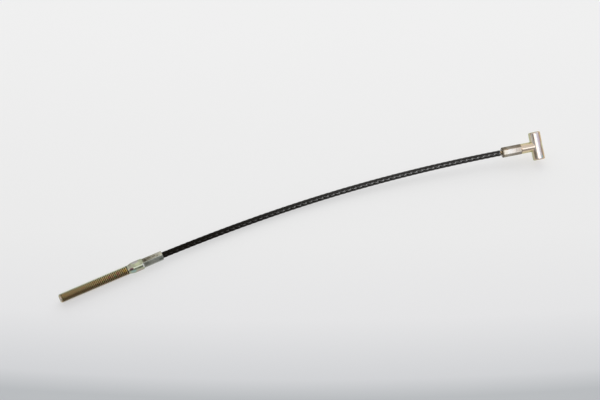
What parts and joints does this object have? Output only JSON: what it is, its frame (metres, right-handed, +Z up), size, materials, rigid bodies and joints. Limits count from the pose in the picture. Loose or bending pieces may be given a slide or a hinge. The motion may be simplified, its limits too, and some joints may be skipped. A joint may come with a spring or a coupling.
{
  "type": "wire rope pull cable",
  "caption": "Short black-coated wire rope with a threaded steel stud crimped to one end and a T-bar fitting crimped to the other.",
  "frame": {"origin": "centre of the threaded stud's tip face", "axes": "+X along the stud into the rope, +Z up from the floor the cable lies on; the rope bends towards -Y"},
  "size_m": [0.4182, 0.0659, 0.0214],
  "materials": {
    "yellow_zinc": "steel with yellow zinc plating, semi-bright, duller where it is crimped",
    "black_coat": "satin black extruded plastic that follows the strands",
    "rope_wire": "drawn steel wire"
  },
  "bodies": {
    "stud_end": {"threaded_stud": "yellow_zinc", "coat_1": "black_coat", "core_strand_1": "rope_wire", "strand_a_1": "rope_wire", "strand_b_1": "rope_wire", "strand_c_1": "rope_wire", "strand_d_1": "rope_wire", "strand_e_1": "rope_wire", "strand_f_1": "rope_wire"},
    "rope_2": {"coat_2": "black_coat", "core_strand_2": "rope_wire", "strand_a_2": "rope_wire", "strand_b_2": "rope_wire", "strand_c_2": "rope_wire", "strand_d_2": "rope_wire", "strand_e_2": "rope_wire", "strand_f_2": "rope_wire"},
    "rope_3": {"coat_3": "black_coat", "core_strand_3": "rope_wire", "strand_a_3": "rope_wire", "strand_b_3": "rope_wire", "strand_c_3": "rope_wire", "strand_d_3": "rope_wire", "strand_e_3": "rope_wire", "strand_f_3": "rope_wire"},
    "rope_4": {"coat_4": "black_coat", "core_strand_4": "rope_wire", "strand_a_4": "rope_wire", "strand_b_4": "rope_wire", "strand_c_4": "rope_wire", "strand_d_4": "rope_wire", "strand_e_4": "rope_wire", "strand_f_4": "rope_wire"},
    "rope_5": {"coat_5": "black_coat", "core_strand_5": "rope_wire", "strand_a_5": "rope_wire", "strand_b_5": "rope_wire", "strand_c_5": "rope_wire", "strand_d_5": "rope_wire", "strand_e_5": "rope_wire", "strand_f_5": "rope_wire"},
    "rope_6": {"coat_6": "black_coat", "core_strand_6": "rope_wire", "strand_a_6": "rope_wire", "strand_b_6": "rope_wire", "strand_c_6": "rope_wire", "strand_d_6": "rope_wire", "strand_e_6": "rope_wire", "strand_f_6": "rope_wire"},
    "t_bar_end": {"t_bar": "yellow_zinc", "coat_7": "black_coat", "core_strand_7": "rope_wire", "strand_a_7": "rope_wire", "strand_b_7": "rope_wire", "strand_c_7": "rope_wire", "strand_d_7": "rope_wire", "strand_e_7": "rope_wire", "strand_f_7": "rope_wire"}
  },
  "joints": [
    {"name": "upward_bend", "type": "hinge", "parent": "stud_end", "child": "rope_2", "pos_m": [0.12912, -0.00069, -0.00093], "axis": [-0.0334, -0.9994, 0], "range_deg": [0, 25], "stiffness_Nm_per_rad": 0.05},
    {"name": "sideways_bend_1", "type": "hinge", "parent": "rope_2", "child": "rope_3", "pos_m": [0.1718, -0.00293, -0.00129], "axis": [0.0016, -0.0001, 1], "range_deg": [-14, 14], "stiffness_Nm_per_rad": 0.05},
    {"name": "sideways_bend_2", "type": "hinge", "parent": "rope_3", "child": "rope_4", "pos_m": [0.21435, -0.00693, -0.00106], "axis": [-0.0122, 0.0014, 0.9999], "range_deg": [-14, 14], "stiffness_Nm_per_rad": 0.05},
    {"name": "sideways_bend_3", "type": "hinge", "parent": "rope_4", "child": "rope_5", "pos_m": [0.25667, -0.01281, -0.00025], "axis": [-0.0252, 0.0041, 0.9997], "range_deg": [-14, 14], "stiffness_Nm_per_rad": 0.05},
    {"name": "sideways_bend_4", "type": "hinge", "parent": "rope_5", "child": "rope_6", "pos_m": [0.29868, -0.02054, 0.00109], "axis": [-0.0362, 0.0075, 0.9993], "range_deg": [-14, 14], "stiffness_Nm_per_rad": 0.05},
    {"name": "sideways_bend_5", "type": "hinge", "parent": "rope_6", "child": "t_bar_end", "pos_m": [0.34032, -0.03, 0.00287], "axis": [-0.0448, 0.0111, 0.9989], "range_deg": [-14, 14], "stiffness_Nm_per_rad": 0.05}
  ]
}
